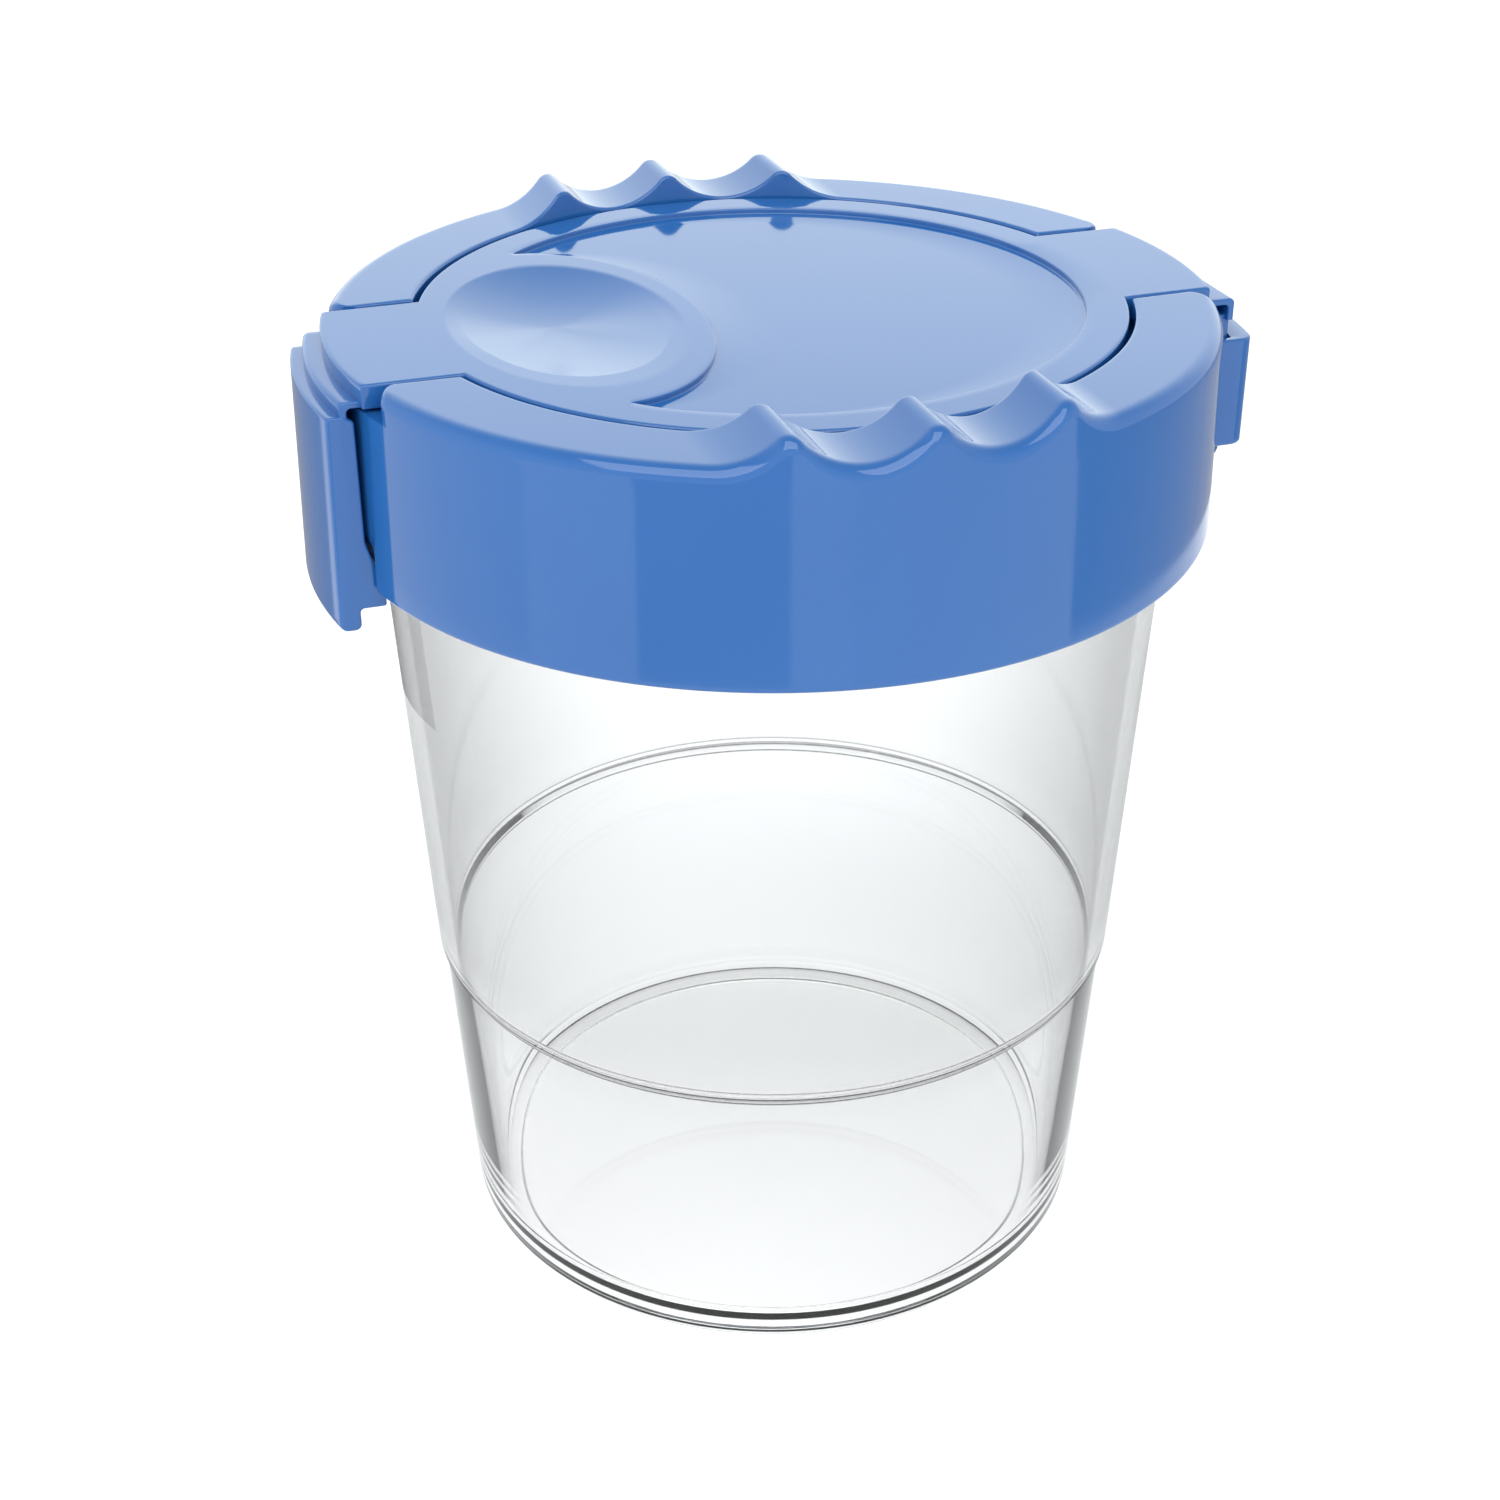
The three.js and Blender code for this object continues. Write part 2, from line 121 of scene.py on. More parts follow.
def rounded(outline, closed=True, steps=5):
    """An outline of (a, b, radius) corners with each corner turned into an arc of its radius.

    The arc touches both sides at radius / tan(half the corner's angle) from the corner, and is
    the turn of its first spoke about its centre. A short lead on each side keeps flats flat.
    """
    data = np.array(outline, float)
    corner, radius = data[:, :2], data[:, 2]
    back = np.roll(corner, 1, 0) - corner
    ahead = np.roll(corner, -1, 0) - corner
    if not closed:
        back[0], ahead[-1] = -ahead[0], -back[-1]
    back_length = np.linalg.norm(back, axis=1)
    ahead_length = np.linalg.norm(ahead, axis=1)
    back /= back_length[:, None]
    ahead /= ahead_length[:, None]
    half = np.arccos(np.clip((back * ahead).sum(1), -1, 1)) / 2
    cut = np.minimum(radius / np.tan(half), 0.45 * np.minimum(back_length, ahead_length))
    radius = cut * np.tan(half)
    middle = back + ahead
    middle /= np.maximum(np.linalg.norm(middle, axis=1), 1e-9)[:, None]
    centre = corner + middle * (radius / np.sin(half))[:, None]
    first = corner + back * cut[:, None] - centre
    last = corner + ahead * cut[:, None] - centre
    sweep = np.pi - 2 * half
    turn = np.linspace(0, 1, steps + 1)[None, :] * sweep[:, None]
    weight = np.maximum(np.sin(sweep), 1e-9)[:, None]
    from_first = (np.sin(sweep[:, None] - turn) / weight)[..., None]
    from_last = (np.sin(turn) / weight)[..., None]
    arc = centre[:, None] + first[:, None] * from_first + last[:, None] * from_last
    lead = np.minimum(0.35 * cut, 0.2)[:, None]
    before = arc[:, 0] + back * lead
    after = arc[:, -1] + ahead * lead
    full = np.concatenate([before[:, None], arc, after[:, None]], 1)
    plain = (radius < 1e-6) | (half > np.pi / 2 - 0.02)
    full[plain] = corner[plain][:, None]
    path = full.reshape(-1, 2)
    keep = np.ones(len(path), bool)
    keep[1:] = np.linalg.norm(np.diff(path, axis=0), axis=1) > 1e-6
    return path[keep]


def turned(outline, segments, closed):
    """A patch: an outline of (radius, height) points carried round the Z axis."""
    angle = np.linspace(0, FULL_TURN, segments, endpoint=False)
    radius, height = outline[:, :1], outline[:, 1:]
    grid = np.stack([radius * np.cos(angle), radius * np.sin(angle), height + 0 * angle], -1)
    return grid, closed, True


def inset(outline, amount):
    """A closed outline moved inwards along its corner bisectors by the given amount."""
    along = np.roll(outline, -1, 0) - np.roll(outline, 1, 0)
    along /= np.maximum(np.linalg.norm(along, axis=1), 1e-9)[:, None]
    across = np.stack([-along[:, 1], along[:, 0]], 1)
    x, y = outline.T
    area = (x * np.roll(y, -1) - np.roll(x, -1) * y).sum()
    return outline + across * amount * np.sign(area)


def curved_bar(name, outline, half, side, edge=0.22, steps=36, bow=1.0):
    """A closed (radius, height) outline carried along X on circles about the Z axis.

    A point is (x, side * sqrt(radius^2 - bow * x^2), height), so a bow of 0 gives a straight bar.
    Near each end the outline shrinks by a quarter round, so that the end edges are soft, and a flat
    face closes the end.
    """
    outline = rounded(outline)
    round_off = np.radians([0, 22.5, 45, 67.5, 90])
    end_x = half - edge * (1 - np.sin(round_off))
    end_inset = edge * (1 - np.cos(round_off))
    x = np.concatenate([-end_x[::-1], np.linspace(-half + edge, half - edge, steps)[1:-1], end_x])
    shrink = np.concatenate([end_inset[::-1], np.zeros(steps - 2), end_inset])
    grid = np.stack([inset(outline, amount) for amount in shrink], 1)
    radius, height = grid[..., 0], grid[..., 1]
    y = side * np.sqrt(radius**2 - bow * x**2)
    points = np.stack([x + 0 * radius, y, height], -1)
    return make_piece(name, [(points, True, False)], capped=True)


# ---- clear cup ----

def cup_wall_radius(z):
    """Outer radius of the cup's upper wall, which widens steadily."""
    return 35.04 + 0.0542 * (z - 31.65)


def clear_cup():
    """The cup's wall outline turned round the Z axis: foot ring, step, snap bead and rounded rim."""
    wall = 1.45
    outline = rounded([
        (0, 0.7, 0),
        (28.9, 0.7, 0.25),
        (29.05, 0.0, 0.12),
        (32.1, 0.0, 0.35),
        (32.74, 0.92, 0.35),
        (34.56, 30.95, 0.14),
        (35.04, 31.65, 0.14),
        (cup_wall_radius(86.2), 86.2, 0.4),
        (38.7, 87.2, 0.3),
        (38.7, 88.2, 0.3),
        (cup_wall_radius(89.2), 89.2, 0.4),
        (cup_wall_radius(91.0), 91.0, 0.6),
        (cup_wall_radius(91.0) - wall, 91.0, 0.6),
        (cup_wall_radius(31.95) - wall, 31.95, 0.12),
        (33.16, 31.25, 0.12),
        (30.69, 2.0, 1.5),
        (0, 2.0, 0),
    ], closed=False)
    return make_piece("clear_cup", [turned(outline, 256, False)])


# ---- blue collar ----

def rest_height(y):
    """Height of the collar's top at y: crests 11.7 mm apart with round valleys between them.

    A crest is the arc of a 1.2 mm circle, and a valley the arc that touches both crests. Past the
    outer half valleys the top is flat.
    """
    half = REST_PITCH / 2
    crest_centre = REST_CREST - REST_CREST_RADIUS
    drop = crest_centre - COLLAR_TOP
    valley = (half**2 + drop**2 - REST_CREST_RADIUS**2) / (2 * (REST_CREST_RADIUS + drop))
    valley_centre = COLLAR_TOP + valley
    share = REST_CREST_RADIUS / (REST_CREST_RADIUS + valley)
    nearest = np.clip(np.round(y / REST_PITCH), -1, 1) * REST_PITCH
    away = np.abs(y - nearest)
    on_crest = crest_centre + np.sqrt(np.maximum(0, REST_CREST_RADIUS**2 - away**2))
    in_valley = valley_centre - np.sqrt(np.maximum(0, valley**2 - (half - away) ** 2))
    wave = np.where(away < half * share, on_crest, in_valley)
    return np.where(away > half, COLLAR_TOP, wave)


def arc_columns():
    """Plan columns of a quarter of the collar's ring, from y = 0 to the edge of a window.

    Each column is (outer point, its inward direction, rounding of the outer top edge, inner angle,
    skirt angle, drop of the window's side edge). Over the brush rests the columns run along X, so
    that they follow the crests. At the window the outer line turns in on a 2.5 mm corner.
    """
    corner_x = WINDOW_HALF + WINDOW_CORNER
    core = COLLAR_RADIUS - WINDOW_CORNER
    corner_y = np.sqrt(core**2 - corner_x**2)
    touch = np.arctan2(corner_y, corner_x)

    y = np.linspace(0, 18.3, 123)
    rest_angle = np.arcsin(y / COLLAR_RADIUS)
    inner_rest = np.arcsin(y * (1 - COLLAR_EDGE / COLLAR_RADIUS) / RING_INNER)

    count = 40
    share = np.linspace(0, 1, count + 1)[1:-1]
    inner_end = np.arccos((corner_x + (WINDOW_CORNER - COLLAR_EDGE) * np.cos(touch)) / RING_INNER)
    mid_angle = rest_angle[-1] + (touch - rest_angle[-1]) * share
    mid_inner = inner_rest[-1] + (inner_end - inner_rest[-1]) * share

    side_start = np.arccos(-1 + SIDE_EDGE / WINDOW_CORNER)
    side_x = SIDE_EDGE * (1 - np.sin(np.radians([22.5, 45, 67.5, 90])))
    turn = np.concatenate([
        np.linspace(touch, side_start, 14),
        np.arccos(-1 + side_x / WINDOW_CORNER),
    ])
    spoke = np.stack([np.cos(turn), np.sin(turn)], 1)
    corner = np.array([corner_x, corner_y]) + WINDOW_CORNER * spoke
    fade = np.clip((turn - touch) / (np.pi - touch), 0, 1)
    corner_edge = COLLAR_EDGE * (1 - fade * fade * (3 - 2 * fade)) ** 1.5
    corner_edge[-1] = 0
    start_x = corner[0, 0] - COLLAR_EDGE * np.cos(touch)
    inner_x = np.minimum(corner[:, 0] - corner_edge * np.cos(turn), start_x)
    gap = corner[:, 0] - WINDOW_HALF
    side_drop = SIDE_EDGE - np.sqrt(np.maximum(0, SIDE_EDGE**2 - np.maximum(0, SIDE_EDGE - gap) ** 2))
    skirt_end = np.arccos(WINDOW_HALF / COLLAR_RADIUS)
    corner_skirt = touch + (skirt_end - touch) * fade

    ring_angle = np.concatenate([rest_angle, mid_angle])
    outward = np.stack([np.cos(ring_angle), np.sin(ring_angle)], 1)
    outer = np.concatenate([outward * COLLAR_RADIUS, corner])
    inward = np.concatenate([-outward, -spoke])
    edge = np.concatenate([np.full(len(ring_angle), COLLAR_EDGE), corner_edge])
    inner = np.concatenate([inner_rest, mid_inner, np.arccos(inner_x / RING_INNER)])
    skirt = np.concatenate([ring_angle, corner_skirt])
    drop = np.concatenate([np.zeros(len(ring_angle)), side_drop])
    return outer, inward, edge, inner, skirt, drop


def collar_columns():
    """Plan columns of half the collar: one arc of the ring, then one window, anticlockwise."""
    outer, inward, edge, inner, skirt, drop = arc_columns()
    flip = np.array([1, -1])
    outer = np.concatenate([outer[:0:-1] * flip, outer])
    inward = np.concatenate([inward[:0:-1] * flip, inward])
    edge = np.concatenate([edge[:0:-1], edge])
    inner = np.concatenate([-inner[:0:-1], inner])
    skirt = np.concatenate([-skirt[:0:-1], skirt])
    drop = np.concatenate([drop[:0:-1], drop])
    open_here = np.zeros(len(edge), bool)

    relief_edges = np.array([1, 0.962, 0.947])
    across = np.concatenate([relief_edges, np.linspace(0.9, -0.9, 31), -relief_edges[::-1]])
    x = WINDOW_HALF * across
    window_outer = np.stack([x, np.full(len(x), outer[-1, 1])], 1)
    outer = np.concatenate([outer, window_outer])
    inward = np.concatenate([inward, np.zeros((len(x), 2))])
    edge = np.concatenate([edge, np.zeros(len(x))])
    inner = np.concatenate([inner, np.arccos(x / RING_INNER)])
    skirt = np.concatenate([skirt, np.arccos(x / COLLAR_RADIUS)])
    drop = np.concatenate([drop, np.zeros(len(x))])
    open_here = np.concatenate([open_here, np.ones(len(x), bool)])
    return outer, inward, edge, inner, skirt, drop, open_here


def collar_grid():
    """The collar's closed section, row by row, over all its plan columns.

    Rows climb the outer skirt, turn over the top edge on a quarter round, cross the top at the
    height that rest_height gives, drop down the inner wall to the lid's ledge and come back under
    the deck and down the inside of the skirt. In a window the rows above its floor lie flat on it.
    """
    outer, inward, edge, inner, skirt, drop, open_here = collar_columns()
    count = len(edge)
    taper = (COLLAR_LOW_RADIUS - COLLAR_RADIUS) / (WINDOW_FLOOR - COLLAR_LOW)
    rows = []

    def ring_row(radius, height, angle):
        rows.append(np.stack([
            radius * np.cos(angle),
            radius * np.sin(angle),
            np.full(count, height),
        ], -1))

    skirt_corner = rounded([
        (COLLAR_INSIDE, 84.0, 0),
        (COLLAR_INSIDE, COLLAR_LOW, 0.25),
        (COLLAR_LOW_RADIUS, COLLAR_LOW, 0.45),
        (COLLAR_RADIUS, WINDOW_FLOOR, 0),
    ], closed=False)[1:-1]
    for radius, height in skirt_corner:
        ring_row(radius, height, skirt)
    for height in (78.6, 79.4, 80.2, 81.0, 81.8, 82.6, 83.4, 87.0, 91.0, WINDOW_FLOOR):
        ring_row(COLLAR_RADIUS + taper * (WINDOW_FLOOR - height), height, skirt)

    rows.append(np.concatenate([outer, np.full((count, 1), WINDOW_FLOOR)], 1))
    for turn in np.radians([0, 12, 24, 36, 48, 60, 70, 80, 90]):
        plan = outer + inward * (edge * (1 - np.cos(turn)))[:, None]
        top = rest_height(plan[:, 1]) * (1 - open_here) + WINDOW_FLOOR * open_here
        height = top - np.where(open_here, 0, edge * (1 - np.sin(turn)) + drop)
        rows.append(np.concatenate([plan, height[:, None]], 1))

    start = outer + inward * edge[:, None]
    inner_plan = np.stack([np.cos(inner), np.sin(inner)], 1)
    end = inner_plan * (RING_INNER + RING_EDGE)
    across = np.concatenate([[0.04], np.linspace(0, 1, 15)[1:-1], [0.97, 1]])
    for share in across:
        plan = start + (end - start) * share
        top = rest_height(plan[:, 1]) * (1 - open_here) + WINDOW_FLOOR * open_here
        height = top - np.where(open_here, 0, drop)
        rows.append(np.concatenate([plan, height[:, None]], 1))
    for turn in np.radians([22.5, 45, 67.5, 90]):
        plan = inner_plan * (RING_INNER + RING_EDGE * (1 - np.sin(turn)))
        top = rest_height(plan[:, 1]) * (1 - open_here) + WINDOW_FLOOR * open_here
        fall = RING_EDGE * (1 - np.cos(turn)) + drop
        height = top - np.where(open_here, 0, fall)
        rows.append(np.concatenate([plan, height[:, None]], 1))
    ring_row(RING_INNER, WINDOW_FLOOR, inner)
    for radius, height in ((33.1, 93.9), (29.9, 93.9), (29.7, 93.7), (29.7, 92.1), (29.9, 91.9),
                           (34.9, 91.9), (34.9, 93.2)):
        ring_row(radius, height, inner)
    for radius, height in ((39.5, 93.2), (39.5, 85.6), (39.1, 85.1), (39.1, 84.3), (39.5, 83.6)):
        ring_row(radius, height, skirt)

    half = np.stack(rows)
    turned_half = half * np.array([-1, -1, 1])
    return np.concatenate([half, turned_half], 1)


def open_hook_relief(grid):
    """Pushes the outer wall behind the latch in on a wedge, deepest at the lower edge.

    The wedge's radius at height z is 39.99 + 0.289 * (z - 78.37), never under 39.99.
    """
    x, y, z = np.moveaxis(grid, -1, 0)
    radius = np.hypot(x, y)
    wedge = 39.99 + 0.289 * np.maximum(0, z - 78.37)
    side = np.clip((10.02 - np.abs(x)) / 0.15, 0, 1)
    on_wall = (y < 0) & (z < 83.5) & (radius > 40.0) & (side > 0)
    scale = np.where(on_wall & (radius > wedge), 1 + side * (wedge / radius - 1), 1)
    return np.stack([x * scale, y * scale, z], -1)


def socket_patch():
    """Block for the hinge strap: an outer plan loop and a slot loop, joined over four soft edges.

    Both loops have the same number of points, and the section between them is a closed rounded
    rectangle: up the outside, across the top, down the slot and across the underside.
    """
    low, high, edge = 80.7, 91.5, 0.35
    steps = [10, 8, 40, 8, 10, 30]

    def loop(half, inner, outer, corner):
        core = outer - corner
        centre_x = half - corner
        centre_y = np.sqrt(core**2 - centre_x**2)
        lean = np.arctan2(centre_y, centre_x)
        side_y = np.linspace(inner, centre_y, steps[0], endpoint=False)
        turn = np.linspace(0, lean, steps[1], endpoint=False)
        arc = np.linspace(lean, np.pi - lean, steps[2], endpoint=False)
        right = np.stack([half + 0 * side_y, side_y], 1)
        near = np.stack([centre_x + corner * np.cos(turn), centre_y + corner * np.sin(turn)], 1)
        back = outer * np.stack([np.cos(arc), np.sin(arc)], 1)
        far_turn = np.linspace(np.pi - lean, np.pi, steps[3], endpoint=False)
        far_spoke = np.stack([np.cos(far_turn), np.sin(far_turn)], 1)
        far = np.array([-centre_x, centre_y]) + corner * far_spoke
        left_y = np.linspace(centre_y, inner, steps[4], endpoint=False)
        left = np.stack([-half + 0 * left_y, left_y], 1)
        close_x = np.linspace(-half, half, steps[5], endpoint=False)
        close = np.stack([close_x, np.sqrt(inner**2 - close_x**2)], 1)
        if inner < 40:
            close[:, 1] = inner
        return np.concatenate([right, near, back, far, left, close])

    body = loop(10.0, 39.65, 46.0, 1.5)
    slot_half, slot_inner = 9.2, 42.05
    slot = loop(slot_half, slot_inner, 43.9, 0.25)
    slot_corner_y = np.sqrt(slot_inner**2 - slot_half**2)
    slot[:steps[0], 1] = np.linspace(slot_corner_y, slot[steps[0], 1], steps[0], endpoint=False)
    left_start = sum(steps[:4])
    left = slice(left_start, left_start + steps[4])
    slot[left, 1] = np.linspace(slot[left_start, 1], slot_corner_y, steps[4], endpoint=False)
    turn = np.radians([0, 22.5, 45, 67.5, 90])
    rows = [(inset(body, edge * (1 - np.sin(a))), low + edge * (1 - np.cos(a))) for a in turn]
    rows += [(body, low + 1.2), (body, high - 1.2)]
    rows += [(inset(body, 0.2 * (1 - np.cos(a))), high - 0.2 * (1 - np.sin(a))) for a in turn]
    rows += [(inset(slot, -0.12), high), (inset(slot, -0.04), high - 0.03), (slot, high - 0.12)]
    rows += [(slot, low + 0.12), (inset(slot, -0.12), low)]
    grid = np.stack([np.concatenate([plan, np.full((len(plan), 1), z)], 1) for plan, z in rows])
    return grid, True, True


def blue_collar():
    """Ring with two windows and two rows of brush rests, with the strap's socket behind it."""
    ring = open_hook_relief(collar_grid())
    return make_piece("collar_ring", [(ring, True, True), socket_patch()])


# ---- blue lid ----

def lid_reach(angle, inward):
    """Plan radius of the lid's outline, moved in by a distance: a disc with two square tongues.

    In a direction near +-Y the outline is the tongue's side, x = half, or its curved end, whichever
    is nearer, and elsewhere it is the disc.
    """
    end = np.where(np.sin(angle) < 0, TONGUE_FRONT, TONGUE_REAR)
    side = (TONGUE_HALF - inward) / np.maximum(np.abs(np.cos(angle)), 1e-6)
    return np.maximum(LID_RADIUS - inward, np.minimum(side, end - inward))


def recess_tip():
    """Direction of the point where the thumb pad's ellipse meets the recess's circle."""
    a, b, c = PAD_X_HALF, PAD_Y_HALF, PAD_Y
    # a^2 (1 - s^2) + (c + b s)^2 = r^2, solved for s, the sine of the ellipse's own angle
    square, linear = b * b - a * a, 2 * b * c
    constant = a * a + c * c - RECESS_RADIUS**2
    s = (-linear - np.sqrt(linear**2 - 4 * square * constant)) / (2 * square)
    turn = np.arcsin(s)
    return turn, np.arctan2(c + b * s, a * np.cos(turn))


def thumb_dimple(v, direction):
    """Depth share of the thumb dimple at v, 0 in its middle and 1 at its rim.

    On the far side it is 1 - v^2, which meets the pad at an angle. Towards +X it is a longer hollow,
    1 - v^1.45, that ends at v = 0.86 in a shallow sloping shoulder.
    """
    far = 1 - v * v
    hollow = 1 - np.minimum(v / SHOULDER_START, 1) ** 1.45
    shoulder = SHOULDER_DEPTH * (1 - v) / (1 - SHOULDER_START)
    near = np.where(v < SHOULDER_START, SHOULDER_DEPTH + (1 - SHOULDER_DEPTH) * hollow, shoulder)
    soft = np.clip(0.5 + 0.9 * np.cos(direction), 0, 1)
    soft = soft * soft * (3 - 2 * soft)
    return far * (1 - soft) + near * soft


def lid_directions(tip):
    """Directions of the lid's plan columns, finer where the outline or the recess has a corner."""
    corners = []
    for end in (TONGUE_FRONT, TONGUE_REAR):
        side = -1 if end == TONGUE_FRONT else 1
        for reach in (end, LID_RADIUS):
            lean = np.arcsin(TONGUE_HALF / reach)
            corners += [side * np.pi / 2 - lean, side * np.pi / 2 + lean]
    corners = np.array(corners)
    near = (corners[:, None] + np.radians([-0.3, -0.05, 0, 0.05, 0.3])).ravel()
    tips = np.array([tip, -np.pi - tip])
    base = np.radians(np.arange(0, 360, 1.0))
    every = np.mod(np.concatenate([base, near, tips]), FULL_TURN)
    every = np.unique(np.round(every, 7))
    start = np.argmin(np.abs(every - np.mod(tip, FULL_TURN)))
    every = np.roll(every, -start)
    return np.where(every < every[0] - 1e-9, every + FULL_TURN, every)


def lid_patches():
    """Patches of the lid that share their edges: rim, recess wall and floor, pad, dimple, underside.

    Polar rows run from the recess over the rim and tongues and back underneath to the middle. The
    recess floor and the pad's top are straight blends between their two bounding curves.
    """
    tip_turn, tip = recess_tip()
    direction = lid_directions(tip)
    tip_start = np.mod(tip, FULL_TURN)
    tip_end = np.mod(-np.pi - tip, FULL_TURN) + FULL_TURN
    in_recess = direction <= tip_end + 1e-7
    recess = direction[in_recess]
    pad_side = np.concatenate([recess[-1:], direction[~in_recess], [tip_start + FULL_TURN]])
    share = (recess - recess[0]) / (recess[-1] - recess[0])

    fade = np.clip(np.minimum(share, 1 - share) * 60, 0, 1)
    edge = RECESS_EDGE * fade
    pad_share = (pad_side - pad_side[0]) / (pad_side[-1] - pad_side[0])
    pad_radius = RECESS_RADIUS + 2.5 * np.sin(np.pi * pad_share) ** 2

    def polar(radius, angle, height):
        radius, height = radius + 0 * angle, height + 0 * angle
        return np.stack([radius * np.cos(angle), radius * np.sin(angle), height], -1)

    # rim, tongues, outer wall and underside
    inner = np.concatenate([RECESS_RADIUS + edge, pad_radius[1:-1]])
    under = np.where(lid_reach(direction, 0) > LID_RADIUS + 0.02, TONGUE_UNDER, LID_UNDER)
    top_edge = 0.28
    rows = [polar(inner, direction, LID_TOP)]
    flat_end = lid_reach(direction, top_edge)
    for part in (0.25, 0.5, 0.75, 0.97, 1):
        rows.append(polar(inner + (flat_end - inner) * part, direction, LID_TOP))
    for turn in np.radians([22.5, 45, 67.5, 90]):
        rows.append(polar(
            lid_reach(direction, top_edge * (1 - np.sin(turn))),
            direction,
            LID_TOP - top_edge * (1 - np.cos(turn)),
        ))
    rows.append(polar(lid_reach(direction, 0), direction, LID_TOP - 0.5))
    rows.append(polar(lid_reach(direction, 0), direction, under + 0.25))
    rows.append(polar(lid_reach(direction, 0.07), direction, under + 0.07))
    rows.append(polar(lid_reach(direction, 0.25), direction, under))
    rows.append(polar(LID_RADIUS - 0.25, direction, under))
    rows.append(polar(LID_RADIUS - 0.3, direction, LID_UNDER))
    plug = rounded([
        (29.0, LID_UNDER, 0),
        (PLUG_OUTER, LID_UNDER, 0.3),
        (PLUG_OUTER, 92.2, 0.1),
        (PLUG_GROOVE, 92.2, 0.1),
        (PLUG_GROOVE, 90.4, 0.1),
        (PLUG_OUTER, 90.4, 0.1),
        (PLUG_OUTER, 89.6, 0.3),
        (PLUG_INNER, 89.6, 0.3),
        (PLUG_INNER, 91.0, 0),
    ], closed=False)
    rows += [polar(radius, direction, height) for radius, height in plug]
    for radius in np.concatenate([[PLUG_INNER], np.linspace(25.2, 1.2, 25), [0]]):
        x, y = radius * np.cos(direction), radius * np.sin(direction)
        bulge = 1 - (x / 18.6) ** 2 - ((y - DIMPLE_Y) / 12.3) ** 2
        low = LID_TOP - (DIMPLE_DEPTH + 1.5) * np.clip(bulge, 0, 1) ** 0.6
        rows.append(polar(radius, direction, np.minimum(LID_UNDER, low)))
    body = np.stack(rows)

    # recess wall: the same rows along the circle and along the pad's ellipse
    ellipse_turn = tip_turn + (np.pi - 2 * tip_turn) * share
    cos_e, sin_e = np.cos(ellipse_turn), np.sin(ellipse_turn)
    on_ellipse = np.stack([PAD_X_HALF * cos_e, PAD_Y + PAD_Y_HALF * sin_e], -1)
    normal = np.stack([cos_e / PAD_X_HALF, sin_e / PAD_Y_HALF], -1)
    normal /= np.linalg.norm(normal, axis=1)[:, None]
    turns = np.radians([0, 22.5, 45, 67.5, 90])
    offsets = [(1 - np.sin(t), LID_TOP, -(1 - np.cos(t))) for t in turns]
    offsets += [(-(1 - np.cos(t)), LID_RECESS, 1 - np.sin(t)) for t in turns]
    circle_rows, ellipse_rows = [], []
    for out, level, lift in offsets:
        height = level + lift * edge
        circle_rows.append(polar(RECESS_RADIUS + out * edge, recess, height))
        plan = on_ellipse - normal * (out * edge)[:, None]
        ellipse_rows.append(np.concatenate([plan, height[:, None]], 1))
    circle_wall, ellipse_wall = np.stack(circle_rows), np.stack(ellipse_rows)
    blend = np.linspace(0, 1, 7)[:, None, None]
    floor = ellipse_wall[-1] * (1 - blend) + circle_wall[-1] * blend

    # pad top, from its edge to the dimple's rim, then the dimple
    pad_edge = np.concatenate([ellipse_wall[0], polar(pad_radius, pad_side, LID_TOP)[1:-1]])
    around = np.arctan2((pad_edge[:, 1] - DIMPLE_Y) / DIMPLE_Y_HALF, pad_edge[:, 0] / DIMPLE_X_HALF)

    def dimple_row(v, depth):
        return np.stack([
            v * DIMPLE_X_HALF * np.cos(around) + (1 - v) * DIMPLE_LOW_X,
            DIMPLE_Y + v * DIMPLE_Y_HALF * np.sin(around),
            LID_TOP - depth + 0 * around,
        ], -1)

    rim = dimple_row(1.0, 0)
    pad = pad_edge * (1 - blend) + rim * blend
    size = np.concatenate([[1, 0.98, 0.95, 0.91, 0.88, 0.865, 0.86, 0.855], np.linspace(0.84, 0, 30)])
    bowl = np.stack([dimple_row(v, DIMPLE_DEPTH * thumb_dimple(v, around)) for v in size])
    return [
        (body, False, True),
        (circle_wall, False, False),
        (ellipse_wall, False, False),
        (floor, False, False),
        (pad, False, True),
        (bowl, False, True),
    ]


def blue_lid():
    """Disc with a shallow recess, a thumb pad with its dimple, two tongues and a plug underneath."""
    return make_piece("lid_disc", lid_patches(), sharp=26)


# ---- film hinges, latch tab and strap ----

def film_web(name, tongue_radius, side, low, tuck=0.5, bow=1.0):
    """Thin moulded bend from a tongue's end over and down to the part that it carries.

    Its section is a flat top, a quarter round of 0.5 mm and a short drop, with a smaller quarter
    round underneath. It starts tucked inside the tongue by the given length.
    """
    top, under = 95.42, 94.82
    bend = tongue_radius + 1.2
    turn = np.radians(np.linspace(90, 0, 9))
    outer = np.stack([bend + 0.5 * np.cos(turn), top - 0.5 + 0.5 * np.sin(turn)], 1)
    inner_turn = turn[::-1]
    inner = np.stack([bend - 0.55 + 0.4 * np.cos(inner_turn), under - 0.4 + 0.4 * np.sin(inner_turn)], 1)
    path = np.concatenate([
        [[tongue_radius - tuck, top]],
        outer,
        [[bend + 0.5, low]],
        [[bend - 0.15, low]],
        inner,
        [[tongue_radius - tuck, under]],
    ])
    return curved_bar(name, np.concatenate([path, np.zeros((len(path), 1))], 1), 9.42, side, edge=0.18,
                      bow=bow)


